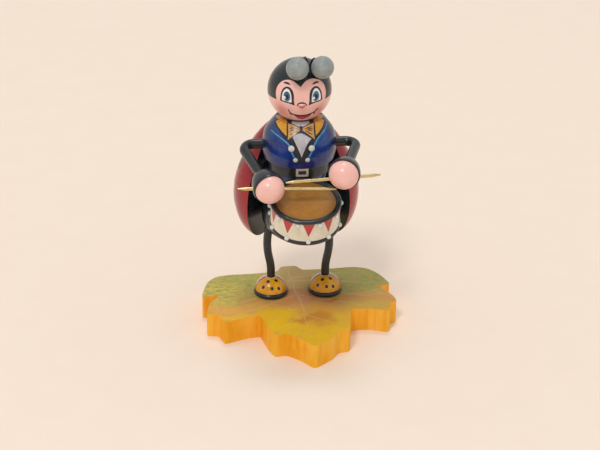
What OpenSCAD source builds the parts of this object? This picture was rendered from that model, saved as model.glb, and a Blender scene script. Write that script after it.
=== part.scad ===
// Ladybird drummer: a painted figure of turned wood that stands on a sawn maple leaf.
// Millimetres, +Z up. The figure faces -Y, so its own right side is at -X.
// The origin is under the middle of the leaf.

/* [Leaf base] */
// Width of the leaf, tip to tip
leaf_w = 79; // [68:1:100]
// Depth of the leaf, from the front tip to the end of the stem
leaf_d = 71; // [60:1:90]
// Angle that the leaf is turned under the figure, towards the figure's left
leaf_turn = 3.5; // [0:0.5:8]
// Thickness of the board that the leaf is sawn from
leaf_t = 10; // [9:0.5:16]
// Distance from the middle of the leaf back to the figure's axis
figure_y = 11.5; // [6:0.5:14]

/* [Shoes and legs] */
// Distance from the figure's axis out to each foot
stance = 11.3; // [9.5:0.1:14]
// Diameter of a shoe
shoe_d = 13.2; // [11:0.2:15.5]
// Height of a shoe's upper
shoe_h = 5.8; // [4.5:0.1:8]
// Thickness of a sole
sole_t = 2.3; // [1.5:0.1:4]
// Diameter of the bent leg dowels
leg_d = 3.4; // [2.6:0.1:4.2]
// Height of the hips above the leaf
leg_rise = 36; // [32:0.5:44]

/* [Abdomen] */
// Diameter of the abdomen
abdomen_d = 30; // [25:0.5:36]
// Depth of the abdomen below its widest ring
abdomen_low = 12; // [10:0.5:15]
// Height of the flat seat for the torso above the widest ring
abdomen_seat = 10.5; // [8:0.5:13]
// Distance that the abdomen lies behind the figure's axis
abdomen_back = 1.5; // [0:0.1:2]

/* [Torso] */
// Diameter of the coat's lower end
waist_d = 17.5; // [14:0.5:20]
// Height of the coat between the seat and the belt
coat_h = 10.8; // [8:0.1:14]
// Width of the belt
belt_h = 4.6; // [3:0.1:6]
// Outer diameter of the belt
belt_d = 25.2; // [21:0.2:30.4]
// Thickness of the belt
belt_t = 0.8; // [0.5:0.1:1.2]
// Diameter of the chest
chest_d = 30; // [29:0.5:36]
// Height of the jacket from its hem to the top of the collar
jacket_h = 17.2; // [15:0.1:22]
// Diameter of the collar's top
collar_d = 18.8; // [17:0.2:21]

/* [Head] */
// Diameter of the head
head_d = 25.5; // [21:0.5:31]
// Diameter of the neck dowel
neck_d = 4; // [3:0.1:6]
// Angle that the face and the buttons are turned towards the figure's right
face_turn = 2; // [0:0.5:20]
// Diameter of the antenna balls
antenna_ball_d = 9; // [7:0.2:11]
// Diameter of the antenna stalks
stalk_d = 1.5; // [1:0.1:2.2]

/* [Arms and sticks] */
// Diameter of the bent arm dowels
arm_d = 4; // [3.2:0.1:4.8]
// Height of the shoulder axis above the jacket's hem
shoulder_up = 5.4; // [4.5:0.1:8]
// Distance from the figure's axis out to the middle of the elbow
elbow_out = 22.3; // [20.5:0.1:27]
// Bend radius of the elbow
elbow_r = 4; // [3:0.1:5]
// Distance from the shoulder axis forward to the middle of a hand
reach = 30.2; // [28:0.1:34]
// Distance from the figure's axis out to the middle of a hand
hand_out = 14.5; // [12.5:0.1:17]
// Angle of the right forearm below the horizontal
right_drop = 12.7; // [11:0.1:16]
// Angle of the left forearm below the horizontal
left_drop = 2.3; // [0:0.1:4]
// Diameter of the hand balls
hand_d = 11.8; // [9.8:0.2:14.2]
// Diameter of the brass sticks
stick_d = 1.4; // [1:0.1:1.8]
// Length of the right stick
right_stick_len = 38.6; // [32:0.2:47]
// Length of the left stick
left_stick_len = 38.2; // [32:0.2:46]

/* [Drum] */
// Diameter of the shell
shell_d = 27.4; // [22.6:0.1:33]
// Height of the shell that shows between the hoops
shell_h = 8.1; // [6.5:0.1:9.8]
// Height of the upper hoop
hoop_h = 1.6; // [1.2:0.1:2]
// Height of the lower hoop
low_hoop_h = 2.6; // [2.1:0.1:3.2]
// Distance that a hoop stands out from the shell
hoop_out = 0.5; // [0.3:0.05:0.6]
// Forward tilt of the drum
drum_tilt = 14.5; // [12:0.5:18]

/* [Wings] */
// Radius of the egg that the wings are sawn from
wing_r = 14; // [12:0.2:15]
// Length of a wing below its widest place
wing_low = 23.6; // [20:0.2:28]
// Length of a wing above its widest place
wing_high = 29.4; // [25:0.2:33]
// Lean of a wing's top towards the middle
wing_tilt = 7.5; // [4:0.5:10]
// Turn of a wing's flat face from the front
wing_turn = 50; // [46:1:54]
// Diameter of the pegs that hold the wings
wing_peg_d = 2.5; // [1.6:0.1:3.2]

/* [Fits] */
// Radial clearance of a pin that turns in its bore
running_gap = 0.05; // [0.02:0.01:0.1]
// Gap between the head and its seat, and between the drum and the belt
seat_gap = 0.3; // [0.2:0.05:0.5]
// Gap between the right cuff, at its lowest, and the drum's top
hand_gap = 0.4; // [0.3:0.05:1]
// Gap between a stick's tip and the other hand
tip_gap = 0.95; // [0.6:0.05:2]
// Gap between a wing's flat face and the abdomen
wing_gap = 0.1; // [0.05:0.01:0.5]

/* [Hidden] */
$fn = 64;

RIGHT = -1;
LEFT = 1;

// Heights of the turned pieces, stacked from the leaf up
sole_top = leaf_t + sole_t;
hip_z = leaf_t + leg_rise;
waist_z = hip_z + abdomen_seat;
belt_z = waist_z + coat_h;
hem_z = belt_z + belt_h + 0.4;
shoulder_z = hem_z + shoulder_up;
collar_z = hem_z + jacket_h;

// Legs: a lower bend outwards and an upper bend inwards
leg_socket = 7;
leg_straight = 8;
leg_mid = 0.6;
leg_low_r = 25;
leg_low_turn = 13;
leg_high_r = 30;
leg_high_turn = 10;
hip_pin_len = hip_z - 1 - leg_bend_z(2);
function leg_bend_z(i) =
    i == 0 ? sole_top + leg_straight
    : i == 1 ? leg_bend_z(0) + leg_low_r * sin(leg_low_turn) + leg_mid * cos(leg_low_turn)
    : leg_bend_z(1) + leg_high_r * (sin(leg_low_turn) + sin(leg_high_turn));

// Torso
dowel_d = 5;
dowel_in = 7;
belt_seat_r = belt_d / 2 - belt_t;
coat_top_r = belt_d / 2 - 0.5;
chest_r = chest_d / 2;
jacket_outline = curve([
    [chest_r - 0.8, hem_z], [chest_r - 0.5, hem_z + 1], [chest_r, shoulder_z - 0.4],
    [chest_r - 0.9, shoulder_z + 5.4], [collar_d / 2 + 1.8, collar_z - 2],
    [collar_d / 2, collar_z]
]);
torso_outline = concat(
    [[0, waist_z], [waist_d / 2, waist_z], [coat_top_r, belt_z], [belt_seat_r, belt_z]],
    [[belt_seat_r, hem_z - 0.4], [chest_r - 1.5, hem_z - 0.3]],
    jacket_outline,
    [[0, collar_z]]
);

// Buttons: [distance from the middle, height above the hem, head radius]
BUTTONS = [for (side = [RIGHT, LEFT]) each [[side * 4, 8.7, 1.3], [side * 2.4, 4, 0.95]]];
button_sink = 0.12;
shank_r = 0.5;
shank_len = 3;

// Head: the ball sits in a dish, on a small flat boss round the neck dowel
head_r = head_d / 2;
boss_r = 3.4;
boss_drop = sqrt(head_r * head_r - boss_r * boss_r);
boss_z = collar_z - 1;
head_z = boss_z + boss_drop;
neck_in = 9;
neck_up = 9;

// Antennae: each stalk rises from the crown and bends forward and down to its ball
stalk_r = 2.5;
stalk_root_in = 4;
right_root = [2.2, -3.6];
left_root = [4.6, -3];
right_ball = [-2.3, -head_r - 0.65, head_r + 1.1];
left_ball = [7.9, 2.35 - head_r, head_r + 0.1];
right_stalk_fall = 8;
left_stalk_fall = 14;

// Arms
shoulder_pin_in = 6.5;
elbow_x = elbow_out - elbow_r;
elbow_to_hand = [hand_out - elbow_x, reach - elbow_r];
fore_turn = atan2(elbow_to_hand[1], elbow_to_hand[0]) - acos(elbow_r / norm(elbow_to_hand));
fore_len = sqrt(norm(elbow_to_hand) * norm(elbow_to_hand) - elbow_r * elbow_r);
hand_r = hand_d / 2;
hand_pin = 2.4;
cuff_wall = 0.5;
cuff_len = 9.4;

// Sticks: the shape, the bearing and the rise towards the tip. A tip ends just short of the
// other hand, and the rest of the length stands out of the stick's own hand.
stick_r = stick_d / 2;
stick_taper = 3;
stick_tip_r = stick_r * 0.4;
right_stick_bearing = -1.5;
left_stick_bearing = 187.3;
right_stick_rise = -1.6;
left_stick_rise = 0.2;
left_stick_shift = [0, 1, -1.9];
hands_apart_z = reach * (sin(right_drop) - sin(left_drop));
right_stick_in = tip_reach(hands_apart_z - 2 * hand_out * sin(right_stick_rise));
left_stick_in = tip_reach(hands_apart_z + left_stick_shift[2]);
function tip_reach(up) = 2 * hand_out - sqrt(max(0, pow(hand_r + tip_gap, 2) - up * up));

// Drum, in its own frame: z = 0 is the plane of the upper hoop's top
shell_r = shell_d / 2;
hoop_r = shell_r + hoop_out;
hoop_mouth_r = shell_r - 1.7;
lip_t = 0.8;
skin_t = 0.6;
drum_h = shell_h + hoop_h + low_hoop_h;
drum_back = hoop_r * cos(drum_tilt) + hoop_h / 2 * sin(drum_tilt);
drum_y = -(belt_d / 2 + seat_gap + drum_back);
cuff_rim_r = hand_r + cuff_wall;
drum_z = shoulder_z - reach * sin(right_drop)
    + ((reach * cos(right_drop) + drum_y) * sin(drum_tilt) - cuff_rim_r - hand_gap) / cos(drum_tilt);
stud_count = 10;
stud_r = 0.95;
stud_z = lip_t + skin_t + stud_r;
drum_peg_d = 4;
drum_peg_len = 11;

// Wings
wing_y = 9.8;
wing_up = 9.8;
wing_z = hip_z + wing_up;
wing_x = chest_r - 3.4;
wing_round_low = 2;
wing_round_high = 1.5;
wing_peg_in = 4;
wing_peg_out = 7;
wing_peg_high = wing_high * 0.72;
wing_peg_low = -wing_low * 0.34;

BIG = 60;

// Point on a Catmull-Rom curve, t of the way from point i to the next
function spline(p, i, t) =
    let (a = p[max(i - 1, 0)], b = p[i], c = p[i + 1], d = p[min(i + 2, len(p) - 1)])
    0.5 * (2 * b + (c - a) * t + (2 * a - 5 * b + 4 * c - d) * t * t
        + (3 * b - a - 3 * c + d) * t * t * t);

// Smooth curve through points
function curve(p, n = 5) = concat(
    [for (i = [0:len(p) - 2]) for (j = [0:n - 1]) spline(p, i, j / n)],
    [p[len(p) - 1]]
);

// Arc of a circle from angle a0 to a1
function arc(c, r, a0, a1, n = 10) =
    [for (i = [0:n]) let (a = a0 + (a1 - a0) * i / n) c + r * [cos(a), sin(a)]];

// Half outline of a superellipse egg, from its lower pole to its upper pole
function egg(r, low, high, n_low, n_high, steps = 14) = [
    for (i = [-steps:steps])
        let (t = sin(90 * i / steps), n = t < 0 ? n_low : n_high, h = t < 0 ? low : high)
        [r * pow(max(0, 1 - pow(abs(t), n)), 1 / n), t * h]
];

// Closed outline with each corner [x, y, r] rounded to about r
function rounded(p, steps = 3) = [
    for (i = [0:len(p) - 1])
        let (
            q = [p[i][0], p[i][1]],
            a = p[(i + len(p) - 1) % len(p)], b = p[(i + 1) % len(p)],
            to_a = [a[0], a[1]] - q, to_b = [b[0], b[1]] - q,
            cut = min(p[i][2], norm(to_a) * 0.45, norm(to_b) * 0.45),
            s = q + to_a / norm(to_a) * cut, e = q + to_b / norm(to_b) * cut
        )
        for (j = [0:steps])
            let (t = j / steps) (1 - t) * (1 - t) * s + 2 * t * (1 - t) * q + t * t * e
];

module mirrored(side) {
    if (side == LEFT) mirror([1, 0, 0]) children();
    else children();
}

module at_figure(z = 0) {
    translate([0, figure_y, z]) children();
}

// The figure's frame, turned the way that it faces
module at_front(z) {
    at_figure(z) rotate([0, 0, -face_turn]) children();
}

// Leaf --------------------------------------------------------------------

// Outline of a leaf 79 wide and 71 deep: [x, y, corner radius], from the stem clockwise.
// A pointed tip stands out a little, because its rounding takes that much off.
LEAF = [
    [3.4, 35.5, 1.5], [5, 31.2, 2.5], [16.5, 30.6, 4], [27, 31, 3], [33.3, 28.7, 3],
    [37.4, 22, 4], [39.85, 13.1, 1.6], [34.6, 11.3, 1.2], [38.6, 3.2, 1.5], [39.7, -2.2, 1.5],
    [36.4, -3.7, 1.2], [34.8, -10.8, 1.6], [26.6, -7.2, 1.5], [19.6, -7, 1.6], [17.3, -16.6, 3],
    [15.8, -24.4, 1.5], [10.6, -25, 1.5], [8.4, -29.4, 3], [-0.5, -36.3, 2.2], [-5.3, -28.6, 3],
    [-10, -23.8, 1.5], [-14.8, -24.6, 1.5], [-16.6, -18.4, 2.5], [-18.2, -6.6, 1.6],
    [-24.6, -7.8, 1.5], [-33.4, -11, 1.6], [-34.9, -4, 1.2], [-39.83, -2.9, 1.5],
    [-37.6, 6.2, 3], [-32.6, 12.9, 1.2], [-39.83, 12.8, 1.5], [-38.4, 18.8, 3],
    [-35.8, 26, 3], [-32, 30, 3], [-26.5, 31, 3], [-15, 30.6, 4], [-5, 31.2, 2.5],
    [-3.4, 35.5, 1.5]
];

function turned(p, a) = [p[0] * cos(a) - p[1] * sin(a), p[0] * sin(a) + p[1] * cos(a)];
function middle(v) = (max(v) + min(v)) / 2;

// The leaf is centred on the origin by its turned outline's width and depth
module leaf_outline() {
    stretch = [leaf_w / 79, leaf_d / 71];
    edge = [
        for (p = rounded([for (q = LEAF) [q[0] * stretch[0], q[1] * stretch[1], q[2]]]))
            turned(p, leaf_turn)
    ];
    translate([-middle([for (p = edge) p[0]]), -middle([for (p = edge) p[1]]), 0]) polygon(edge);
}

module leaf_base() {
    color("goldenrod")
    difference() {
        linear_extrude(leaf_t) leaf_outline();
        for (side = [RIGHT, LEFT])
            at_figure(leaf_t - leg_socket)
            translate([side * stance, 0, 0])
            cylinder(d = leg_d, h = leg_socket + 1);
    }
}

// Legs and shoes ------------------------------------------------------------

module at_foot(side, z) {
    at_figure(z) translate([side * stance, 0, 0]) children();
}

module sole(side) {
    r = shoe_d / 2;
    color("black")
    at_foot(side, leaf_t)
    rotate_extrude()
    polygon(concat(
        [[leg_d / 2, 0], [r - 0.7, 0]],
        arc([r - 0.7, sole_t / 2], sole_t / 2, -90, 90),
        [[leg_d / 2, sole_t]]
    ));
}

module shoe(side) {
    r = shoe_d / 2 - 0.1;
    color("orange")
    at_foot(side, sole_top)
    difference() {
        rotate_extrude()
        polygon(concat([[0, 0]], [for (i = [0:16]) [r * cos(i * 5.625), shoe_h * sin(i * 5.625)]]));
        translate([0, 0, -1]) cylinder(d = leg_d, h = shoe_h + 2);
    }
}

// Leg in the plane of its bends: x out from the figure, y up
leg_p0 = [stance, leg_bend_z(0)];
leg_p1 = leg_p0 + leg_low_r * [1 - cos(leg_low_turn), sin(leg_low_turn)];
leg_q1 = leg_p1 + leg_mid * [sin(leg_low_turn), cos(leg_low_turn)];
leg_c2 = leg_q1 + leg_high_r * [-cos(leg_low_turn), sin(leg_low_turn)];
leg_p2 = leg_c2 + leg_high_r * [cos(leg_high_turn), sin(leg_high_turn)];

// Length of a bent dowel in the XY plane: an arc round a centre. Its ends reach a little way
// into the straight lengths that it joins, where it is a hair thinner than they are.
module bend(centre, r, start, turn, d) {
    lap = 0.05 / r * 180 / PI;
    translate([centre[0], centre[1], 0])
    rotate([0, 0, start - lap])
    rotate_extrude(angle = turn + 2 * lap)
    translate([r, 0]) circle(d = d - 0.02);
}

// Straight length of a bent dowel in the XY plane, from a point along a heading
module rod(from, heading, d, length) {
    translate([from[0], from[1], 0])
    rotate([0, 0, heading])
    rotate([0, 90, 0])
    cylinder(d = d, h = length);
}

module leg_plane(side) {
    mirrored(-side) at_figure() rotate([90, 0, 0]) children();
}

// Upper bend of a leg and the straight pin above it
module hip() {
    bend(leg_c2, leg_high_r, -leg_low_turn, leg_low_turn + leg_high_turn, leg_d);
    rod(leg_p2, 90 + leg_high_turn, leg_d, hip_pin_len);
}

module leg(side) {
    color("black")
    leg_plane(side) {
        rod([stance, leaf_t - leg_socket], 90, leg_d, leg_p0[1] - leaf_t + leg_socket);
        bend(leg_p0 + [leg_low_r, 0], leg_low_r, 180 - leg_low_turn, leg_low_turn, leg_d);
        rod(leg_p1, 90 - leg_low_turn, leg_d, leg_mid);
        hip();
    }
}

// Abdomen and torso ----------------------------------------------------------

module dowel_hole(z, d, length) {
    at_figure(z) cylinder(d = d, h = length);
}

module abdomen() {
    high = abdomen_seat / sqrt(1 - pow(0.6, 2));
    profile = egg(abdomen_d / 2, abdomen_low, high, 2, 2);
    color("black")
    difference() {
        at_figure(hip_z)
        translate([0, abdomen_back, 0])
        intersection() {
            rotate_extrude() polygon(profile);
            translate([-BIG / 2, -BIG / 2, -BIG + abdomen_seat]) cube([BIG, BIG, BIG]);
        }
        dowel_hole(waist_z - dowel_in, dowel_d, dowel_in + 1);
        for (side = [RIGHT, LEFT]) {
            leg_plane(side) hip();
            wing_frame(side) {
                translate([-BIG / 2, -wing_gap, -BIG / 2]) cube([BIG, BIG, BIG]);
                wing_peg(wing_peg_low);
            }
        }
    }
}

module waist_dowel() {
    color("tan") dowel_hole(waist_z - dowel_in, dowel_d, 2 * dowel_in);
}

module torso() {
    color("mediumblue")
    difference() {
        at_figure() rotate_extrude() polygon(torso_outline);
        dowel_hole(waist_z - 1, dowel_d, dowel_in + 1);
        dowel_hole(boss_z - neck_in, neck_d, neck_in + 2);
        difference() {
            at_figure(head_z) sphere(r = head_r + seat_gap, $fn = 96);
            dowel_hole(boss_z - 2, 2 * boss_r, 2);
        }
        for (side = [RIGHT, LEFT]) {
            at_figure(shoulder_z)
            translate([side * (shoulder_pin_in - 0.5), 0, 0])
            rotate([0, side * 90, 0])
            cylinder(r = arm_d / 2 + running_gap, h = chest_r);
            wing_frame(side) {
                translate([-BIG / 2, 0, -BIG / 2]) cube([BIG, BIG, BIG]);
                wing_peg(wing_peg_high);
            }
        }
        drum_frame() drum_pin();
        for (b = BUTTONS)
            at_button(b) {
                button_shank();
                cylinder(r = b[2] + 0.04, h = 2);
            }
    }
}

module belt() {
    color("black")
    at_figure(belt_z)
    difference() {
        cylinder(d = belt_d, h = belt_h);
        translate([0, 0, -1]) cylinder(r = belt_seat_r, h = belt_h + 2);
    }
}

module belt_buckle() {
    buckle_w = 5;
    buckle_t = 0.6;
    frame_w = 0.9;
    buckle_h = belt_h - 1.2;
    mid_z = belt_z + belt_h / 2 + 0.5;
    color("silver")
    at_figure(mid_z - buckle_h / 2)
    intersection() {
        difference() {
            cylinder(r = belt_d / 2 + buckle_t, h = buckle_h);
            translate([0, 0, -1]) cylinder(d = belt_d, h = buckle_h + 2);
        }
        translate([-buckle_w / 2, -BIG / 2, 0])
        difference() {
            cube([buckle_w, BIG / 2, buckle_h]);
            translate([frame_w, -1, frame_w])
            cube([buckle_w - 2 * frame_w, BIG / 2 + 2, buckle_h - 2 * frame_w]);
        }
    }
}

// The jacket's radius at a height
function jacket_r(z) = lookup(z, [for (p = jacket_outline) [p[1], p[0]]]);

// Frame of a button: z points straight out of the jacket, from the seat sunk into it
module at_button(b) {
    z = hem_z + b[1];
    r = jacket_r(z) - button_sink;
    lean = atan(jacket_r(z - 0.5) - jacket_r(z + 0.5));
    at_front(z)
    rotate([0, 0, asin(b[0] / r)])
    translate([0, -r, 0])
    rotate([90 - lean, 0, 0])
    children();
}

module button_shank() {
    translate([0, 0, -shank_len]) cylinder(r = shank_r, h = shank_len + 0.2);
}

module jacket_buttons() {
    color("silver")
    for (b = BUTTONS)
        at_button(b) {
            button_shank();
            rotate_extrude()
            polygon(concat([[0, 0]], [for (i = [0:8]) b[2] * [cos(i * 11.25), 0.55 * sin(i * 11.25)]]));
        }
}

module neck_dowel() {
    color("tan") dowel_hole(boss_z - neck_in, neck_d, neck_in + neck_up);
}

// Head ------------------------------------------------------------------------

module head() {
    color("pink")
    difference() {
        at_figure(head_z) sphere(r = head_r, $fn = 96);
        at_figure(boss_z - 5) cylinder(r = BIG / 2, h = 5);
        dowel_hole(boss_z - 1, neck_d + 2 * running_gap, neck_up + 1 + seat_gap);
        stalk(right_root, right_ball, right_stalk_fall);
        stalk(left_root, left_ball, left_stalk_fall);
    }
}

module nose() {
    nose_r = 1.3;
    nose_drop = 2;
    at_nose = sqrt(pow(head_r, 2) - pow(nose_drop, 2)) - 0.2;
    color("pink")
    at_front(head_z)
    difference() {
        translate([0, -at_nose, -nose_drop]) sphere(r = nose_r);
        sphere(r = head_r, $fn = 96);
    }
}

// Stalk from root [x, y] on the crown to ball [x, y, z], both measured from the head's middle
module stalk(root, ball, fall) {
    flat = [ball[0] - root[0], ball[1] - root[1]];
    span = norm(flat);
    run = (span - stalk_r - stalk_r * sin(fall)) / cos(fall);
    rise = ball[2] + run * sin(fall) - stalk_r * cos(fall);
    at_figure(head_z)
    translate([root[0], root[1], 0])
    rotate([0, 0, atan2(flat[1], flat[0])])
    rotate([90, 0, 0]) {
        rod([0, rise - stalk_root_in], 90, stalk_d, stalk_root_in);
        bend([stalk_r, rise], stalk_r, 90 - fall, 90 + fall, stalk_d);
        rod([stalk_r + stalk_r * sin(fall), rise + stalk_r * cos(fall)], -fall, stalk_d, run);
    }
}

module antenna_stalk(root, ball, fall) {
    color("black") stalk(root, ball, fall);
}

module antenna_ball(root, ball, fall) {
    color("silver")
    difference() {
        at_figure(head_z) translate(ball) sphere(d = antenna_ball_d);
        stalk(root, ball, fall);
    }
}

// Arms --------------------------------------------------------------------------

function drop(side) = side == RIGHT ? right_drop : left_drop;

// Frame of an arm's plane: x out from the figure, -y along the reach
module arm_plane(side) {
    mirrored(-side) at_figure(shoulder_z) rotate([drop(side), 0, 0]) children();
}

// Frame at the middle of a hand, with -y along the forearm
module hand_frame(side) {
    arm_plane(side) translate([hand_out, -reach, 0]) rotate([0, 0, -fore_turn]) children();
}

module arm(side) {
    fore_start = [elbow_x, -elbow_r] + elbow_r * [cos(fore_turn), -sin(fore_turn)];
    color("black")
    arm_plane(side) {
        rod([shoulder_pin_in, 0], 0, arm_d, elbow_x - shoulder_pin_in);
        bend([elbow_x, -elbow_r], elbow_r, -fore_turn, 90 + fore_turn, arm_d);
        rod(fore_start, -90 - fore_turn, arm_d, fore_len - hand_pin);
    }
}

module cuff(side) {
    wrist_r = arm_d / 2 + 1;
    color("black")
    difference() {
        hand_frame(side)
        rotate([90, 0, 0])
        rotate_extrude()
        polygon(concat(
            [[arm_d / 2, -cuff_len]],
            curve([
                [wrist_r, -cuff_len], [(wrist_r + cuff_rim_r) / 2 - 0.3, -cuff_len * 0.8],
                [cuff_rim_r - 0.75, -cuff_len * 0.5], [cuff_rim_r, -cuff_len * 0.15],
                [cuff_rim_r - 0.05, 0]
            ]),
            [[arm_d / 2, 0]]
        ));
        hand_frame(side) sphere(r = hand_r);
        stick_frame(side) cylinder(r = stick_r, h = BIG, center = true);
    }
}

module hand(side) {
    color("pink")
    difference() {
        hand_frame(side) sphere(r = hand_r);
        hand_frame(side)
        translate([0, hand_r + 1, 0])
        rotate([90, 0, 0])
        cylinder(d = arm_d, h = hand_r + 1 - hand_pin);
        stick_frame(side) cylinder(r = stick_r, h = BIG, center = true);
    }
}

// Frame of a stick: z runs along it, from the outer end towards the tip over the drum
module stick_frame(side) {
    bearing = side == RIGHT ? right_stick_bearing : left_stick_bearing;
    rise = side == RIGHT ? right_stick_rise : left_stick_rise;
    shift = side == RIGHT ? [0, 0, 0] : left_stick_shift;
    at_figure(shoulder_z)
    translate([side * hand_out, -reach * cos(drop(side)), -reach * sin(drop(side))] + shift)
    rotate([0, 90 - rise, bearing])
    children();
}

module drumstick(side) {
    length = side == RIGHT ? right_stick_len : left_stick_len;
    inner = side == RIGHT ? right_stick_in : left_stick_in;
    color("darkkhaki")
    stick_frame(side)
    translate([0, 0, inner - length])
    rotate_extrude()
    polygon([
        [0, 0], [stick_tip_r, 0], [stick_r, stick_taper],
        [stick_r, length - stick_taper], [stick_tip_r, length], [0, length]
    ]);
}

// Wings ---------------------------------------------------------------------------

// Frame of a wing: y runs out of the body through the flat face, z along the egg
module wing_frame(side) {
    mirrored(side)
    at_figure(wing_z)
    translate([-wing_x, wing_y, 0])
    rotate([0, wing_tilt, 0])
    rotate([0, 0, wing_turn])
    children();
}

module wing_peg(z) {
    translate([0, wing_peg_in, z])
    rotate([90, 0, 0])
    cylinder(d = wing_peg_d, h = wing_peg_in + wing_peg_out);
}

module wing(side) {
    color("firebrick")
    wing_frame(side)
    difference() {
        intersection() {
            rotate_extrude()
            polygon(egg(wing_r, wing_low, wing_high, wing_round_low, wing_round_high));
            translate([-BIG / 2, 0, -BIG / 2]) cube([BIG, BIG, BIG]);
        }
        wing_peg(wing_peg_high);
        wing_peg(wing_peg_low);
    }
}

module wing_pegs() {
    color("tan")
    for (side = [RIGHT, LEFT])
        wing_frame(side) {
            wing_peg(wing_peg_high);
            wing_peg(wing_peg_low);
        }
}

// Drum ------------------------------------------------------------------------------

module drum_frame() {
    translate([0, figure_y + drum_y, drum_z]) rotate([drum_tilt, 0, 0]) children();
}

module disc(d, z, h) {
    drum_frame() translate([0, 0, z]) cylinder(d = d, h = h);
}

module drum_pin() {
    translate([0, shell_r - drum_peg_len / 2, -drum_h / 2])
    rotate([-90, 0, 0])
    cylinder(d = drum_peg_d, h = drum_peg_len);
}

module drum_shell() {
    color("ivory")
    difference() {
        disc(shell_d, lip_t + skin_t - drum_h, drum_h - 2 * (lip_t + skin_t));
        drum_frame() drum_pin();
    }
}

module drum_skin() {
    color("sienna") disc(shell_d, -lip_t - skin_t, skin_t);
}

module drum_bottom_skin() {
    color("sienna") disc(shell_d, lip_t - drum_h, skin_t);
}

// Hoop with a lip over the skin, its top at z = 0. Its round underside meets the shell.
module hoop(h) {
    round_r = h / 2;
    under = acos(1 - hoop_out / round_r);
    rotate_extrude()
    polygon(concat(
        [[shell_r, -round_r * (1 + sin(under))]],
        arc([hoop_r - round_r, -round_r], round_r, 6 - under, 90),
        [[hoop_mouth_r + 0.4, 0], [hoop_mouth_r, -0.4], [hoop_mouth_r, -lip_t], [shell_r, -lip_t]]
    ));
}

module drum_top_hoop() {
    color("black") drum_frame() hoop(hoop_h);
}

module drum_bottom_hoop() {
    color("black") drum_frame() translate([0, 0, -drum_h]) mirror([0, 0, 1]) hoop(low_hoop_h);
}

// Ring of half-round studs; phase 0 puts one at the front
module studs(z, phase) {
    color("silver")
    drum_frame()
    for (i = [0:stud_count - 1])
        rotate([0, 0, (i + phase) * 360 / stud_count])
        translate([0, -shell_r - 0.35, z])
        sphere(r = stud_r, $fn = 24);
}

module drum_top_studs() {
    studs(-stud_z, 0.5);
}

module drum_bottom_studs() {
    studs(stud_z - drum_h, 0);
}

module drum_peg() {
    color("tan") drum_frame() drum_pin();
}

leaf_base();
sole(RIGHT);  // right_sole
sole(LEFT);  // left_sole
shoe(RIGHT);  // right_shoe
shoe(LEFT);  // left_shoe
leg(RIGHT);  // right_leg
leg(LEFT);  // left_leg
abdomen();
waist_dowel();
torso();
belt();
belt_buckle();
jacket_buttons();
neck_dowel();
head();
nose();
antenna_stalk(right_root, right_ball, right_stalk_fall);  // right_antenna_stalk
antenna_stalk(left_root, left_ball, left_stalk_fall);  // left_antenna_stalk
antenna_ball(right_root, right_ball, right_stalk_fall);  // right_antenna_ball
antenna_ball(left_root, left_ball, left_stalk_fall);  // left_antenna_ball
arm(RIGHT);  // right_arm
arm(LEFT);  // left_arm
cuff(RIGHT);  // right_cuff
cuff(LEFT);  // left_cuff
hand(RIGHT);  // right_hand
hand(LEFT);  // left_hand
drumstick(RIGHT);  // right_drumstick
drumstick(LEFT);  // left_drumstick
wing(RIGHT);  // right_wing
wing(LEFT);  // left_wing
wing_pegs();
drum_shell();
drum_skin();
drum_bottom_skin();
drum_top_hoop();
drum_bottom_hoop();
drum_top_studs();
drum_bottom_studs();
drum_peg();
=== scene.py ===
import math

import bpy
from mathutils import Matrix, Quaternion, Vector
from mathutils.bvhtree import BVHTree
from mathutils.geometry import delaunay_2d_cdt


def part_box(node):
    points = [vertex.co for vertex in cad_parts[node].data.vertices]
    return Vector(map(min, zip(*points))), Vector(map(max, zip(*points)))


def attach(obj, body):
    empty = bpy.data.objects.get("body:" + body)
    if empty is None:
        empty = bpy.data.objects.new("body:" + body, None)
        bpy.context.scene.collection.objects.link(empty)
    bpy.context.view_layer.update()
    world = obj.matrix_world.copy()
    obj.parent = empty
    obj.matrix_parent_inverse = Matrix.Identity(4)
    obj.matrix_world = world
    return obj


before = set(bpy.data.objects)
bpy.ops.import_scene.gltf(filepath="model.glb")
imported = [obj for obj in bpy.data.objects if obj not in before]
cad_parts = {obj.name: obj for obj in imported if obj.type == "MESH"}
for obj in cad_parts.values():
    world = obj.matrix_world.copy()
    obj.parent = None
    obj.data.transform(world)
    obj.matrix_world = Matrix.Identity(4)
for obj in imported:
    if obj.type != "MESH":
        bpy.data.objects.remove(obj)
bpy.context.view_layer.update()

MM = 0.001
FAR = 100 * MM       # rays start this far out, clear of every surface
SINK = 0.06 * MM     # how far a layer of paint reaches below the surface
COAT = 0.05 * MM     # how far the lowest layer of paint stands proud
LAYER = 0.03 * MM    # from one layer to the next
SIDES = ("right", "left")


# Places worked out from the frame -----------------------------------------------------------

def middle(node):
    low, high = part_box(node)
    return (low + high) / 2


head_low, head_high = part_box("head")
HEAD_R = (head_high.x - head_low.x) / 2
HEAD = Vector((middle("head").x, middle("head").y, head_high.z - HEAD_R))
to_nose = middle("nose") - HEAD
TURN = Matrix.Rotation(math.atan2(to_nose.x, -to_nose.y), 4, "Z")
AXIS = Vector((HEAD.x, HEAD.y, 0))
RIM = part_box("torso")[1].z / MM - 0.06    # just below the collar's upper edge, in millimetres
FACE = Matrix.Translation(HEAD) @ TURN
CHEST = Matrix.Translation(AXIS) @ TURN


# Flat drawings ------------------------------------------------------------------------------

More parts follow.
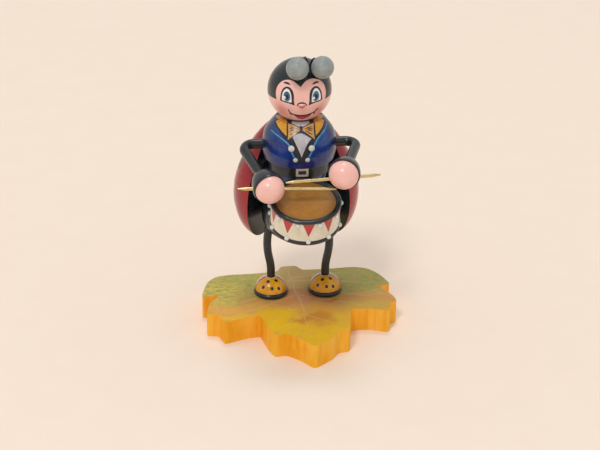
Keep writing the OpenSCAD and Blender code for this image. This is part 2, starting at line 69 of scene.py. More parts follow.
def curve(points, n=5):
    """Smooth open line through the points, with n pieces between one point and the next."""
    line = []
    for i in range(len(points) - 1):
        a, b = points[max(i - 1, 0)], points[i]
        c, d = points[i + 1], points[min(i + 2, len(points) - 1)]
        for j in range(n):
            t = j / n
            line.append(tuple(
                0.5 * (2 * q + (r - p) * t + (2 * p - 5 * q + 4 * r - s) * t * t
                       + (3 * q - p - 3 * r + s) * t ** 3)
                for p, q, r, s in zip(a, b, c, d)))
    return line + [tuple(points[-1])]


def outline(*runs):
    """Closed outline of smooth runs, with a corner wherever one run ends and the next starts."""
    return [p for run in runs for p in curve(run)[:-1]]


def mirrored(points):
    return [(-x, z) for x, z in points]


def both_sides(shapes):
    """Each shape and its mirror image."""
    return [s for shape in shapes for s in (shape, mirrored(shape))]


def polar(radius, degrees):
    return radius * math.cos(math.radians(degrees)), radius * math.sin(math.radians(degrees))


def ellipse(x, z, rx, rz, tilt=0):
    n, (c, s) = 24, polar(1, tilt)
    ring = [(rx * math.cos(math.tau * i / n), rz * math.sin(math.tau * i / n)) for i in range(n)]
    return [(x + c * p - s * q, z + s * p + c * q) for p, q in ring]


def stroke(points, width, ends):
    """Outline of one brush stroke along the points; its ends have that share of the width."""
    path = [Vector(p) for p in curve(points, 6)]
    left, right = [], []
    for i, p in enumerate(path):
        along = (path[min(i + 1, len(path) - 1)] - path[max(i - 1, 0)]).normalized()
        swell = ends + (1 - ends) * math.sin(math.pi * i / (len(path) - 1)) ** 0.6
        across = Vector((-along.y, along.x)) * width / 2 * swell
        left.append(tuple(p + across))
        right.append(tuple(p - across))
    return left + right[::-1]


def grown(points, gap):
    """The outline, moved outwards by a gap."""
    area = sum(a[0] * b[1] - b[0] * a[1] for a, b in zip(points, points[1:] + points[:1]))
    turn = 1 if area > 0 else -1
    out = []
    for i, p in enumerate(points):
        before, after = Vector(points[i - 1]), Vector(points[(i + 1) % len(points)])
        along = (after - before).normalized()
        out.append((p[0] + turn * along.y * gap, p[1] - turn * along.x * gap))
    return out


# Laying a drawing on a surface ----------------------------------------------------------------

def surface_of(nodes):
    verts, faces = [], []
    for node in nodes:
        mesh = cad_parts[node].data
        start = len(verts)
        verts += [v.co.copy() for v in mesh.vertices]
        faces += [[start + i for i in p.vertices] for p in mesh.polygons]
    return BVHTree.FromPolygons(verts, faces)


def meet(tree, start, way):
    """Where a ray meets the surface, and the surface's normal towards the ray's start."""
    point, normal, *_ = tree.ray_cast(start, way)
    if point is None:
        raise ValueError(f"no surface under the drawing at {tuple(start)}")
    return point, normal if normal.dot(way) < 0 else -normal


def seen_from_front(nodes, place):
    """Drawing plane in front of the surface: x to the right and z up."""
    tree, way = surface_of(nodes), place.to_3x3() @ Vector((0, 1, 0))
    return lambda x, z: meet(tree, place @ Vector((x * MM, -FAR, z * MM)), way)


def seen_round(nodes, place, radius):
    """Drawing plane rolled round the surface: arc length from the front, and height."""
    tree, turn = surface_of(nodes), place.to_3x3()

    def at(arc, z):
        out = Vector((math.sin(arc / radius), -math.cos(arc / radius), 0))
        return meet(tree, place @ (out * FAR + Vector((0, 0, z * MM))), -(turn @ out))
    return at


def outward(u, v):
    """Direction that is so many degrees from straight up, to the right and to the back."""
    tilt, way = math.radians(math.hypot(u, v)), math.atan2(v, u)
    return Vector((math.sin(tilt) * math.cos(way), math.sin(tilt) * math.sin(way), math.cos(tilt)))


def seen_from_above(nodes, place):
    """Drawing plane spread over a dome: degrees from its top, to the right and to the back."""
    tree, turn = surface_of(nodes), place.to_3x3()
    return lambda u, v: meet(tree, place @ (outward(u, v) * FAR), -(turn @ outward(u, v)))


def inside(x, y, points):
    odd = False
    for (ax, ay), (bx, by) in zip(points, points[1:] + points[:1]):
        if (ay > y) != (by > y) and x < (bx - ax) * (y - ay) / (by - ay) + ax:
            odd = not odd
    return odd


def fill(points, step):
    """Triangles that fill an outline, no longer than about a step."""
    rim = []
    for a, b in zip(points, points[1:] + points[:1]):
        parts = max(1, math.ceil(math.dist(a, b) / step))
        rim += [(a[0] + (b[0] - a[0]) * i / parts, a[1] + (b[1] - a[1]) * i / parts)
                for i in range(parts)]
    low = [min(p[k] for p in rim) for k in (0, 1)]
    high = [max(p[k] for p in rim) for k in (0, 1)]
    inner = []
    for j in range(int((high[1] - low[1]) / step) + 1):
        for i in range(int((high[0] - low[0]) / step) + 1):
            p = (low[0] + (i + 0.5 * (j % 2)) * step, low[1] + j * step)
            if inside(*p, rim) and min(math.dist(p, q) for q in rim) > 0.45 * step:
                inner.append(p)
    loop = [(i, (i + 1) % len(rim)) for i in range(len(rim))]
    flat, _, faces, *_ = delaunay_2d_cdt([Vector(p) for p in rim + inner], loop, [], 1, 1e-5)
    return flat, [list(f) for f in faces]


def add_layer(verts, faces, at, points, lift, step):
    """A closed thin solid: the drawing's top, its underside and its rim."""
    flat, triangles = fill(points, step)
    spots = [at(p.x, p.y) for p in flat]
    top = [p + n * lift for p, n in spots]
    low = [p - n * SINK for p, n in spots]
    a, b, c = triangles[0]
    if (top[b] - top[a]).cross(top[c] - top[a]).dot(spots[a][1]) < 0:
        triangles = [t[::-1] for t in triangles]
    start, under = len(verts), len(verts) + len(top)
    verts += top + low
    directed = {(t[i], t[(i + 1) % 3]) for t in triangles for i in range(3)}
    for t in triangles:
        faces.append([start + i for i in t])
        faces.append([under + i for i in reversed(t)])
    for i, j in directed:
        if (j, i) not in directed:
            faces.append([start + j, start + i, under + i, under + j])


def paint(name, where, material, at, shapes, level=0, step=0.8):
    """One piece of paint in its body: shapes laid on a surface, so many layers up."""
    verts, faces = [], []
    for points in shapes:
        add_layer(verts, faces, at, points, COAT + level * LAYER, step)
    mesh = bpy.data.meshes.new(name)
    mesh.from_pydata(verts, [], faces)
    mesh.shade_smooth()
    mesh.set_sharp_from_angle(angle=math.radians(40))
    mesh.materials.append(material)
    piece = bpy.data.objects.new(name, mesh)
    bpy.context.scene.collection.objects.link(piece)
    body, slot = where
    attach(piece, body)


# Material nodes -------------------------------------------------------------------------------

def add(tree, kind, inputs=None, **settings):
    """A node with its settings, and with each input linked to a socket or set to a constant."""
    node = tree.nodes.new("ShaderNode" + kind)
    for key, value in settings.items():
        setattr(node, key, value)
    for key, value in (inputs or {}).items():
        if isinstance(value, bpy.types.NodeSocket):
            tree.links.new(value, node.inputs[key])
        else:
            node.inputs[key].default_value = value
    return node


def opaque(colour):
    """A constant colour with its alpha, or the socket as it is."""
    return colour if isinstance(colour, bpy.types.NodeSocket) else (*colour, 1.0)


def mix(tree, share, a, b):
    """Colour a turning into colour b with the share."""
    return add(tree, "Mix", {0: share, 6: opaque(a), 7: opaque(b)}, data_type="RGBA").outputs[2]


def math_node(tree, operation, *values):
    return add(tree, "Math", dict(enumerate(values)), operation=operation).outputs[0]


def product(tree, a, b):
    return math_node(tree, "MULTIPLY", a, b)


def vector_node(tree, operation, *values):
    """A vector operation, which gives one number for a length, a distance or a dot product."""
    node = add(tree, "VectorMath", dict(enumerate(values)), operation=operation)
    return node.outputs["Value" if operation in ("LENGTH", "DISTANCE", "DOT_PRODUCT") else "Vector"]


def part_of(tree, vector, axis):
    return add(tree, "SeparateXYZ", {0: vector}).outputs[axis]


def own_place(tree):
    """The point's place in the object's own coordinates."""
    return add(tree, "TexCoord").outputs["Object"]


def surface_normal(tree):
    return add(tree, "NewGeometry").outputs["Normal"]


def ramp(tree, share, stops):
    node = add(tree, "ValToRGB", {"Fac": share})
    while len(node.color_ramp.elements) < len(stops):
        node.color_ramp.elements.new(0.5)
    for element, (place, colour) in zip(node.color_ramp.elements, stops):
        element.position = place
        element.color = opaque(colour)
    return node.outputs["Color"]


def smooth_step(tree, value, low, high):
    """0 below low and 1 above high, or the other way round where low is the larger."""
    return add(tree, "MapRange", {"Value": value, "From Min": low, "From Max": high},
               interpolation_type="SMOOTHSTEP").outputs["Result"]


def noise(tree, scale, detail=4, rough=0.55, stretch=(1, 1, 1), distort=0.0):
    """Noise on the object's own coordinates, its features about 1 / scale metres wide."""
    place = own_place(tree)
    if stretch != (1, 1, 1):
        place = add(tree, "Mapping", {"Vector": place, "Scale": stretch}).outputs["Vector"]
    return add(tree, "TexNoise", {"Vector": place, "Scale": scale, "Detail": detail,
                                  "Roughness": rough, "Distortion": distort}).outputs["Fac"]


def turned(tree, vector, angle):
    """The vector turned about the upright axis, by an angle in radians."""
    return add(tree, "VectorRotate", {"Vector": vector, "Angle": angle}).outputs["Vector"]


def new_material(name, rough, coat, coat_rough=0.1, metal=0.0, specular=0.35):
    material = bpy.data.materials.new(name)
    material.use_nodes = True
    tree = material.node_tree
    shader = tree.nodes["Principled BSDF"]
    for key, value in (("Roughness", rough), ("Coat Weight", coat), ("Coat Roughness", coat_rough),
                       ("Metallic", metal), ("Specular IOR Level", specular)):
        shader.inputs[key].default_value = value
    return material, tree, shader


def vary_roughness(tree, shader, value, low, high):
    gloss = add(tree, "MapRange", {"Value": value, "To Min": low, "To Max": high})
    tree.links.new(gloss.outputs["Result"], shader.inputs["Roughness"])


def finish_surface(tree, shader, colour, height, bump, depth=0.05):
    """Links the colour, and a bump that is a depth in millimetres high."""
    tree.links.new(colour, shader.inputs["Base Color"])
    relief = add(tree, "Bump", {"Height": height, "Strength": bump, "Distance": depth * MM})
    tree.links.new(relief.outputs["Normal"], shader.inputs["Normal"])


# Materials ------------------------------------------------------------------------------------

def enamel(name, colour, other, scale=260, spread=(0.3, 0.7), rough=0.32, coat=0.25, bump=0.25,
           stretch=(1, 1, 1), speck=0.25):
    """Hand-brushed enamel: two tones that drift into each other, a fine speckle and a soft film."""
    material, tree, shader = new_material(name, rough, coat, 0.12)
    drift = ramp(tree, noise(tree, scale, 5, 0.6, stretch), [(spread[0], colour), (spread[1], other)])
    grain = smooth_step(tree, noise(tree, 2600, 2, 0.7), 0.35, 0.75)
    deeper = [c * 0.55 for c in colour]
    film = noise(tree, 700, 3, 0.5, stretch)
    vary_roughness(tree, shader, film, rough * 0.7, rough * 1.3)
    finish_surface(tree, shader, mix(tree, product(tree, grain, speck), drift, deeper), film, bump)
    return material


def skin_material(name, cheeks=()):
    """Pink enamel, with blushes airbrushed round the cheek points."""
    material, tree, shader = new_material(name, 0.3, 0.3, 0.14)
    tone = ramp(tree, noise(tree, 240, 5, 0.6), [(0.3, (0.90, 0.49, 0.43)), (0.7, (0.95, 0.57, 0.50))])
    for cheek in cheeks:
        away = vector_node(tree, "DISTANCE", own_place(tree), cheek)
        blush = product(tree, smooth_step(tree, away, 5.6 * MM, 0.5 * MM), 0.75)
        tone = mix(tree, blush, tone, (0.66, 0.20, 0.19))
    fleck = product(tree, smooth_step(tree, noise(tree, 2400, 2, 0.7), 0.4, 0.8), 0.12)
    tone = mix(tree, fleck, tone, (0.62, 0.26, 0.2))
    finish_surface(tree, shader, tone, noise(tree, 600, 3), 0.2)
    return material


def silver_enamel():
    """Matt silver-grey bead: fine brush lines crossing each other in the paint."""
    material, tree, shader = new_material("silver_enamel", 0.45, 0.15, 0.25)
    tone = ramp(tree, noise(tree, 320, 5), [(0.3, (0.21, 0.245, 0.24)), (0.7, (0.32, 0.35, 0.34))])
    lines = product(tree, noise(tree, 900, 2, 0.5, (1, 1, 6)), noise(tree, 900, 2, 0.5, (6, 1, 1)))
    share = product(tree, smooth_step(tree, lines, 0.2, 0.42), 0.35)
    finish_surface(tree, shader, mix(tree, share, tone, (0.50, 0.50, 0.47)), lines, 0.5)
    return material


def metal_material(name, colour, other, rough, stretch):
    """Drawn or rolled metal: its scratches run along the work, with tarnish between them."""
    material, tree, shader = new_material(name, rough, 0.0, metal=1.0)
    scratch = noise(tree, 900, 3, 0.6, stretch)
    tarnish = noise(tree, 500, 4, 0.6)
    vary_roughness(tree, shader, tarnish, rough * 0.6, rough * 1.6)
    tone = ramp(tree, tarnish, [(0.3, colour), (0.7, other)])
    finish_surface(tree, shader, tone, scratch, 0.3, 0.03)
    return material


def wood_material(name, light, dark, stretch=(1, 1, 0.12)):
    """Wood whose fibres run along the axis that is stretched least."""
    material, tree, shader = new_material(name, 0.45, 0.15, 0.2)
    fibre = noise(tree, 960, 4, 0.65, stretch, 0.4)
    rings = noise(tree, 160, 3, 0.5, stretch, 1.2)
    both = math_node(tree, "ADD", product(tree, fibre, 0.5), product(tree, rings, 0.5))
    finish_surface(tree, shader, ramp(tree, both, [(0.35, dark), (0.65, light)]), fibre, 0.35)
    return material


def wing_material(name, node):
    """Red enamel on the round side, black on the flat sawn face and a dark edge between."""
    flat_way = max(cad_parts[node].data.polygons, key=lambda p: p.area).normal
    material, tree, shader = new_material(name, 0.24, 0.35, 0.08)
    red = ramp(tree, noise(tree, 150, 5, 0.6, (1, 1, 0.4)),
               [(0.3, (0.24, 0.004, 0.010)), (0.7, (0.36, 0.008, 0.016))])
    black = ramp(tree, noise(tree, 420, 4),
                 [(0.3, (0.006, 0.009, 0.011)), (0.7, (0.018, 0.024, 0.028))])
    facing = vector_node(tree, "DOT_PRODUCT", surface_normal(tree), flat_way)
    tone = mix(tree, smooth_step(tree, facing, 0.90, 0.96), red, black)
    finish_surface(tree, shader, tone, noise(tree, 620, 3), 0.25)
    return material


def drum_skin_material():
    """Varnished brown wood with its grain across the drum, and painted shade that darkens it towards the
    hoop.
    """
    material, tree, shader = new_material("drum_skin_wood", 0.4, 0.25, 0.2)
    grain = noise(tree, 1900, 4, 0.75, (0.4, 1, 1), 0.3)
    tone = ramp(tree, noise(tree, 130, 4, 0.6), [
        (0.3, (0.36, 0.150, 0.022)), (0.5, (0.45, 0.205, 0.030)), (0.7, (0.50, 0.245, 0.040))])
    lines = product(tree, smooth_step(tree, grain, 0.42, 0.66), 0.35)
    tone = mix(tree, lines, tone, (0.26, 0.10, 0.016))
    # Painted shade: darker towards the hoop
    away = vector_node(tree, "DISTANCE", own_place(tree), middle("drum_skin"))
    rim = product(tree, smooth_step(tree, away, 8.5 * MM, 12 * MM), 0.5)
    finish_surface(tree, shader, mix(tree, rim, tone, (0.16, 0.07, 0.015)), grain, 0.4)
    return material


def jacket_material():
    """Blue coat: brush work from navy to a greener blue, with a painted highlight towards the shoulders and
    painted shade at its sides and its back.
    """
    material, tree, shader = new_material("jacket_paint", 0.28, 0.35, 0.08)
    wash = noise(tree, 150, 5, 0.65)
    tone = ramp(tree, wash, [(0.30, (0.005, 0.009, 0.060)), (0.45, (0.006, 0.020, 0.17)),
                             (0.60, (0.008, 0.045, 0.25)), (0.75, (0.02, 0.12, 0.30))])
    dab = smooth_step(tree, noise(tree, 620, 3, 0.7), 0.52, 0.66)
    tone = mix(tree, product(tree, dab, 0.35), tone, (0.035, 0.07, 0.22))
    from_axis = vector_node(tree, "SUBTRACT", own_place(tree), AXIS)
    axes = add(tree, "SeparateXYZ", {0: turned(tree, from_axis, -TURN.to_euler().z)})
    sideways = math_node(tree, "ABSOLUTE", axes.outputs["X"])
    backward, height = axes.outputs["Y"], axes.outputs["Z"]
    # Painted highlight: a lighter blue towards the shoulders
    shoulder_highlight = smooth_step(tree, height, 82 * MM, 89.5 * MM)
    tone = mix(tree, product(tree, shoulder_highlight, 0.45), tone, (0.02, 0.085, 0.19))
    # Painted shade: darker towards the coat's back and its sides
    back_shade = smooth_step(tree, backward, -11 * MM, 0.0)
    uneven = math_node(tree, "ADD", sideways, product(tree, wash, 4 * MM))
    side_shade = smooth_step(tree, uneven, 12.5 * MM, 16.5 * MM)
    shade = product(tree, math_node(tree, "MAXIMUM", back_shade, side_shade), 0.72)
    tone = mix(tree, shade, tone, (0.006, 0.011, 0.035))
    rim = product(tree, math_node(tree, "GREATER_THAN", part_of(tree, surface_normal(tree), "Z"), 0.95),
                  math_node(tree, "GREATER_THAN", height, (RIM - 1) * MM))
    tone = mix(tree, rim, tone, collar_top(tree, sideways, backward))
    finish_surface(tree, shader, tone, noise(tree, 520, 4), 0.35)
    return material


def collar_top(tree, sideways, backward):
    """The collar's upper face: black, with gold in front at both sides and the shirt between."""
    gold = product(tree, smooth_step(tree, sideways, 5.2 * MM, 5.5 * MM),
                   smooth_step(tree, backward, 1 * MM, 0))
    # The shirt's white, painted grey as painted shade under the chin
    linen = product(tree, smooth_step(tree, sideways, 3.6 * MM, 3.3 * MM),
                    smooth_step(tree, backward, 0, -1 * MM))
    cloth = mix(tree, gold, (0.008, 0.01, 0.014), (0.58, 0.26, 0.02))
    return mix(tree, linen, cloth, (0.52, 0.49, 0.53))


# Leaf -----------------------------------------------------------------------------------------

LEAF_TURN = math.radians(-3.5)    # takes the leaf's points back to a leaf that lies straight
LEAF_REACH = 34 * MM              # from the leaf's middle to where its front and back colours are full

# Airbrushed areas: middle as (x, y) and two radii, in millimetres, then a colour and its strength
LEAF_AREAS = [
    ((-26, 24), (24, 16), (0.48, 0.42, 0.09), 0.80),
    ((27, 22), (24, 18), (0.38, 0.33, 0.09), 0.80),
    ((-33, 12), (14, 15), (0.66, 0.50, 0.10), 0.75),
    ((-24, -2), (22, 7), (0.80, 0.42, 0.08), 0.80),
    ((-27, -7), (16, 4), (0.86, 0.50, 0.03), 0.80),
    ((26, 0), (20, 6), (0.52, 0.24, 0.07), 0.75),
    ((27, -5), (16, 5), (0.50, 0.34, 0.06), 0.65),
    ((1, 8), (13, 9), (0.52, 0.20, 0.10), 0.70),
    ((-11, -7), (9, 7), (0.86, 0.50, 0.004), 1.0),
    ((-9, -16), (9, 9), (0.88, 0.52, 0.002), 1.0),
    ((0, -27), (18, 8), (0.84, 0.48, 0.004), 1.0),
    ((15, -16), (6, 9), (0.72, 0.42, 0.02), 0.85),
    ((-2, -14), (5, 5), (0.58, 0.22, 0.012), 0.80),
    ((6, -12), (8, 7), (0.56, 0.21, 0.014), 0.85),
    ((13, 3), (5, 2), (0.46, 0.08, 0.03), 0.75),
    ((-6, 4), (5, 3), (0.60, 0.22, 0.05), 0.60),
]
# Veins: from (x, y) to (x, y)
LEAF_VEINS = [
    ((0, 20), (0, -31)), ((0, 9), (-30, -7)), ((0, 9), (31, -7)), ((0, 16), (-36, 0)),
    ((0, 16), (36, 1)), ((0, 22), (-35, 14)), ((0, 22), (36, 15)), ((0, 25), (-29, 27)),
    ((0, 25), (30, 27)), ((0, -8), (-12, -20)), ((0, -8), (13, -20)), ((0, 34), (0, 20)),
]


def leaf_areas(tree, place):
    """Yellow in front to olive at the back, and the airbrushed areas on it."""
    top = ramp(tree, smooth_step(tree, part_of(tree, place, "Y"), -LEAF_REACH, LEAF_REACH), [
        (0.0, (0.82, 0.46, 0.010)), (0.3, (0.70, 0.34, 0.025)), (0.55, (0.62, 0.31, 0.075)),
        (0.8, (0.50, 0.32, 0.10)), (1.0, (0.48, 0.34, 0.14))])
    for centre, radii, colour, strength in LEAF_AREAS:
        near = vector_node(tree, "SUBTRACT", place, (centre[0] * MM, centre[1] * MM, 0))
        shares = vector_node(tree, "MULTIPLY", near, (1 / (radii[0] * MM), 1 / (radii[1] * MM), 0))
        within = smooth_step(tree, vector_node(tree, "LENGTH", shares), 1.15, 0.35)
        top = mix(tree, product(tree, within, strength), top, colour)
    return top


def leaf_blotches(tree, place, below):
    """Green blotches on the two back lobes, and faint rose ones everywhere."""
    green = smooth_step(tree, noise(tree, 420, 4, 0.7, (1, 1.6, 1)), 0.46, 0.60)
    back = smooth_step(tree, part_of(tree, place, "Y"), -6 * MM, 16 * MM)
    sideways = math_node(tree, "ABSOLUTE", part_of(tree, place, "X"))
    lobes = product(tree, back, smooth_step(tree, sideways, 8 * MM, 20 * MM))
    top = mix(tree, product(tree, product(tree, lobes, green), 0.8), below, (0.20, 0.32, 0.09))
    rose = smooth_step(tree, noise(tree, 380, 4, 0.7), 0.54, 0.66)
    return mix(tree, product(tree, rose, 0.35), top, (0.66, 0.24, 0.16))


def leaf_vein(tree, place, below, start, end):
    """A pale line between two points that narrows and fades towards its far end."""
    a, b = Vector((*start, 0)) * MM, Vector((*end, 0)) * MM
    length = (b - a).length
    way = (b - a) / length
    near = vector_node(tree, "SUBTRACT", place, a)
    along = vector_node(tree, "DOT_PRODUCT", near, way)
    across = vector_node(tree, "DOT_PRODUCT", near, Vector((-way.y, way.x, 0)))
    sway = product(tree, math_node(tree, "SUBTRACT", noise(tree, 130, 2), 0.5), 3 * MM)
    apart = math_node(tree, "ABSOLUTE", math_node(tree, "ADD", across, sway))
    line = smooth_step(tree, apart, 0.55 * MM, 0.15 * MM)
    inward = product(tree, smooth_step(tree, along, 0, 2 * MM),
                     smooth_step(tree, along, length, length * 0.55))
    broken = smooth_step(tree, noise(tree, 900, 3, 0.7), 0.25, 0.6)
    share = product(tree, product(tree, line, inward), product(tree, broken, 0.32))
    return mix(tree, share, below, (0.85, 0.60, 0.26))


def leaf_material():
    """A painted autumn leaf on top, and the sawn edge of a yellow stained board."""
    material, tree, shader = new_material("leaf_paint", 0.55, 0.0, specular=0.12)
    place = turned(tree, own_place(tree), LEAF_TURN)
    wander = add(tree, "TexNoise", {"Vector": place, "Scale": 110, "Detail": 4}).outputs["Color"]
    centred = vector_node(tree, "SUBTRACT", wander, (0.5, 0.5, 0.5))
    loose = vector_node(tree, "ADD", place, vector_node(tree, "MULTIPLY", centred, (14 * MM,) * 3))
    top = leaf_blotches(tree, loose, leaf_areas(tree, loose))
    for start, end in LEAF_VEINS:
        top = leaf_vein(tree, place, top, start, end)
    light = smooth_step(tree, noise(tree, 1900, 3, 0.8), 0.38, 0.66)
    top = mix(tree, product(tree, light, 0.12), top, (0.90, 0.66, 0.22))
    dark = smooth_step(tree, noise(tree, 2300, 2, 0.8), 0.52, 0.72)
    top = mix(tree, product(tree, dark, 0.25), top, (0.30, 0.17, 0.04))
    saw = noise(tree, 420, 4, 0.6, (1, 1, 0.06))
    sawn = ramp(tree, noise(tree, 90, 5, 0.6, (1, 1, 0.35)), [
        (0.30, (0.78, 0.30, 0.006)), (0.48, (0.92, 0.44, 0.030)), (0.68, (0.96, 0.52, 0.070))])
    marks = product(tree, smooth_step(tree, saw, 0.45, 0.7), 0.45)
    sawn = mix(tree, marks, sawn, (0.72, 0.28, 0.008))
    flat = smooth_step(tree, part_of(tree, surface_normal(tree), "Z"), 0.35, 0.85)
    relief = math_node(tree, "ADD", noise(tree, 900, 4, 0.7), product(tree, saw, 0.6))
    finish_surface(tree, shader, mix(tree, flat, sawn, top), relief, 0.6, 0.08)
    return material


# Palette --------------------------------------------------------------------------------------

BLACK = enamel("black_enamel", (0.008, 0.012, 0.013), (0.016, 0.020, 0.026), 420, rough=0.3,
               coat=0.35, bump=0.5, speck=0.0)
SKIN = skin_material("skin_enamel")
CHEEKS = [FACE @ Vector((x * MM, -math.sqrt(HEAD_R ** 2 - (x * MM) ** 2 - (z * MM) ** 2), z * MM))
          for x, z in ((-7.6, -5.4), (7.4, -5.8))]
SILVER = silver_enamel()
BRASS = metal_material("brass_rod", (0.80, 0.66, 0.36), (0.62, 0.48, 0.22), 0.28, (0.08, 1, 1))
NICKEL = metal_material("dull_nickel", (0.80, 0.79, 0.77), (0.62, 0.62, 0.60), 0.34, (1, 1, 1))
PEARL = enamel("pearl_dots", (0.62, 0.62, 0.58), (0.76, 0.76, 0.72), rough=0.3, speck=0.1)
WOOD = wood_material("bare_wood", (0.72, 0.52, 0.32), (0.50, 0.32, 0.17))
IVORY = enamel("ivory_enamel", (0.70, 0.63, 0.47), (0.82, 0.76, 0.62), 300, rough=0.3, speck=0.15)
CREAM = enamel("shoe_cream", (0.66, 0.43, 0.33), (0.78, 0.58, 0.46), 400, rough=0.3)
ORANGE = enamel("shoe_orange", (0.62, 0.25, 0.006), (0.84, 0.42, 0.012), rough=0.26, coat=0.3)
GOLD = enamel("collar_gold", (0.60, 0.25, 0.008), (0.78, 0.38, 0.02), 420, rough=0.4)
TIE = enamel("tie_gold", (0.50, 0.24, 0.05), (0.68, 0.40, 0.12), 520, rough=0.4)
RUST = enamel("tie_folds", (0.16, 0.045, 0.012), (0.26, 0.09, 0.02), 500, rough=0.4)
# White shirt, painted grey as painted shade under the head
SHIRT = enamel("shirt_white_in_painted_shade", (0.42, 0.40, 0.44), (0.66, 0.62, 0.64), 420, rough=0.42,
               stretch=(1, 1, 0.4))
PIPING = enamel("piping_blue", (0.035, 0.19, 0.38), (0.13, 0.42, 0.58), 480, rough=0.34)
RED = enamel("triangle_red", (0.44, 0.025, 0.03), (0.58, 0.06, 0.06), 400, rough=0.34)
LIP = enamel("lip_red", (0.36, 0.012, 0.025), (0.48, 0.03, 0.045), 500, rough=0.3)
ROSE = enamel("nose_rose", (0.56, 0.13, 0.13), (0.66, 0.2, 0.18), 500, rough=0.35)
INK = enamel("lapel_black", (0.006, 0.008, 0.012), (0.013, 0.018, 0.028), 500, rough=0.3, speck=0.0)
LINE = enamel("line_brown", (0.018, 0.012, 0.014), (0.045, 0.028, 0.03), 600, rough=0.35)
WHITE = enamel("eye_white", (0.78, 0.80, 0.80), (0.88, 0.89, 0.87), 500, rough=0.25, speck=0.06)
IRIS = enamel("iris_blue", (0.035, 0.09, 0.15), (0.09, 0.20, 0.38), 330, spread=(0.35, 0.65),
              rough=0.2)
PUPIL = enamel("pupil_navy", (0.004, 0.006, 0.03), (0.01, 0.014, 0.06), 500, rough=0.2, speck=0.0)

# The CAD nodes that aren't black
CAD_MATERIALS = {
    "leaf_base": leaf_material(), "torso": jacket_material(), "drum_skin": drum_skin_material(),
    "head": skin_material("face_enamel", CHEEKS), "nose": SKIN, "drum_shell": IVORY,
    "belt_buckle": NICKEL, "jacket_buttons": PEARL, "drum_top_studs": PEARL,
    "drum_bottom_studs": PEARL, "waist_dowel": WOOD, "neck_dowel": WOOD, "wing_pegs": WOOD,
    "drum_peg": WOOD,
    "drum_bottom_skin": wood_material("drum_bottom_wood", (0.42, 0.18, 0.035), (0.25, 0.09, 0.015),
                                      stretch=(0.15, 1, 1)),
}
for side in SIDES:
    CAD_MATERIALS |= {
        side + "_shoe": CREAM, side + "_hand": SKIN, side + "_antenna_ball": SILVER,
        side + "_drumstick": BRASS, side + "_wing": wing_material(side + "_wing_enamel", side + "_wing"),
    }
for name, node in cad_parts.items():
    node.data.materials.clear()
    node.data.materials.append(CAD_MATERIALS.get(name, BLACK))


# Head -----------------------------------------------------------------------------------------

ON_HEAD = ("head_unit", "head_enamel")


def on_crown(u, v):
    """The head's ball seen from above, over the antennae's holes too."""
    out = TURN.to_3x3() @ outward(u, v)
    return HEAD + out * HEAD_R, out


def crown_point(x, z):
    """Where a point of the front view lies in the view spread over the head's top."""
    r = HEAD_R / MM
    y = -math.sqrt(max(0.0, r * r - x * x - z * z))
    return polar(math.degrees(math.acos(z / r)), math.degrees(math.atan2(y, x)))


def hair():
    """Black hair with a widow's peak: a window for the face, and a level edge round the back."""
    right = [(-9.6, -0.9), (-9.9, 0.7), (-9.8, 2.7), (-9.2, 4.5), (-7.9, 6.2), (-6.5, 7.1), (-5.1, 7.5),
             (-3.6, 7.4), (-2.5, 6.9), (-1.4, 6.1), (-0.4, 5.3)]
    left = [(-0.4, 5.3), (0.4, 6.2), (1.5, 7.2), (3.0, 7.8), (4.9, 7.8), (6.8, 7.1), (8.4, 5.8),
            (9.4, 4.0), (9.8, 2.2), (9.8, 0.4), (9.3, -1.0)]
    window = [crown_point(x, z) for x, z in outline(right, left) + left[-1:]]
    side_tilt, nape_tilt, parts = 94, 116, 60
    start, end = (math.degrees(math.atan2(v, u)) for u, v in (window[-1], window[0]))
    sweep = (end - start) % 360
    back = []
    for i in range(1, parts):
        tilt = side_tilt + (nape_tilt - side_tilt) * math.sin(math.pi * i / parts) ** 3
        back.append(polar(tilt, start + sweep * i / parts))
    paint("hair", ON_HEAD, BLACK, on_crown, [window + back], step=4)


# The right eye's dark rim and its white; the left eye is their mirror image
EYE = outline(
    [(-8.3, -0.8), (-8.2, 0.6), (-7.85, 2.7), (-6.95, 4.4), (-5.6, 5.15), (-4.35, 4.8), (-3.45, 3.7),
     (-3.05, 2.0), (-3.05, -0.3), (-2.7, -2.1)],
    [(-2.7, -2.1), (-4.2, -1.6), (-5.5, -1.3), (-6.9, -1.15), (-8.3, -0.8)])
EYE_WHITE = outline(
    [(-7.6, -0.45), (-7.6, 1.2), (-7.15, 2.9), (-6.35, 4.05), (-5.6, 4.4), (-4.85, 4.05), (-4.25, 2.8),
     (-4.0, 1.2), (-3.95, -0.9)],
    [(-3.95, -0.9), (-5.5, -0.75), (-7.6, -0.45)])


def eyes(on_face):
    paint("eye_rims", ON_HEAD, LINE, on_face, both_sides([EYE]), step=0.5)
    paint("eye_whites", ON_HEAD, WHITE, on_face, both_sides([EYE_WHITE]), 1, 0.5)
    paint("irises", ON_HEAD, IRIS, on_face, [ellipse(x, 1.35, 1.3, 2.0) for x in (-5.7, 5.6)], 2, 0.5)
    paint("pupils", ON_HEAD, PUPIL, on_face, [ellipse(x, 1.2, 0.65, 1.0) for x in (-5.6, 5.7)], 3, 0.4)
    paint("eye_glints", ON_HEAD, WHITE, on_face,
          [ellipse(x, z, 0.42, 0.55, 20) for x, z in ((-6.6, 0.9), (4.8, 0.8))], 4, 0.3)
    brow = outline([(-7.1, 6.15), (-6.2, 6.65), (-5.0, 6.6), (-4.1, 5.85)],
                   [(-4.1, 5.85), (-5.5, 5.95), (-7.1, 6.15)])
    paint("brows", ON_HEAD, LINE, on_face, both_sides([brow]), step=0.4)


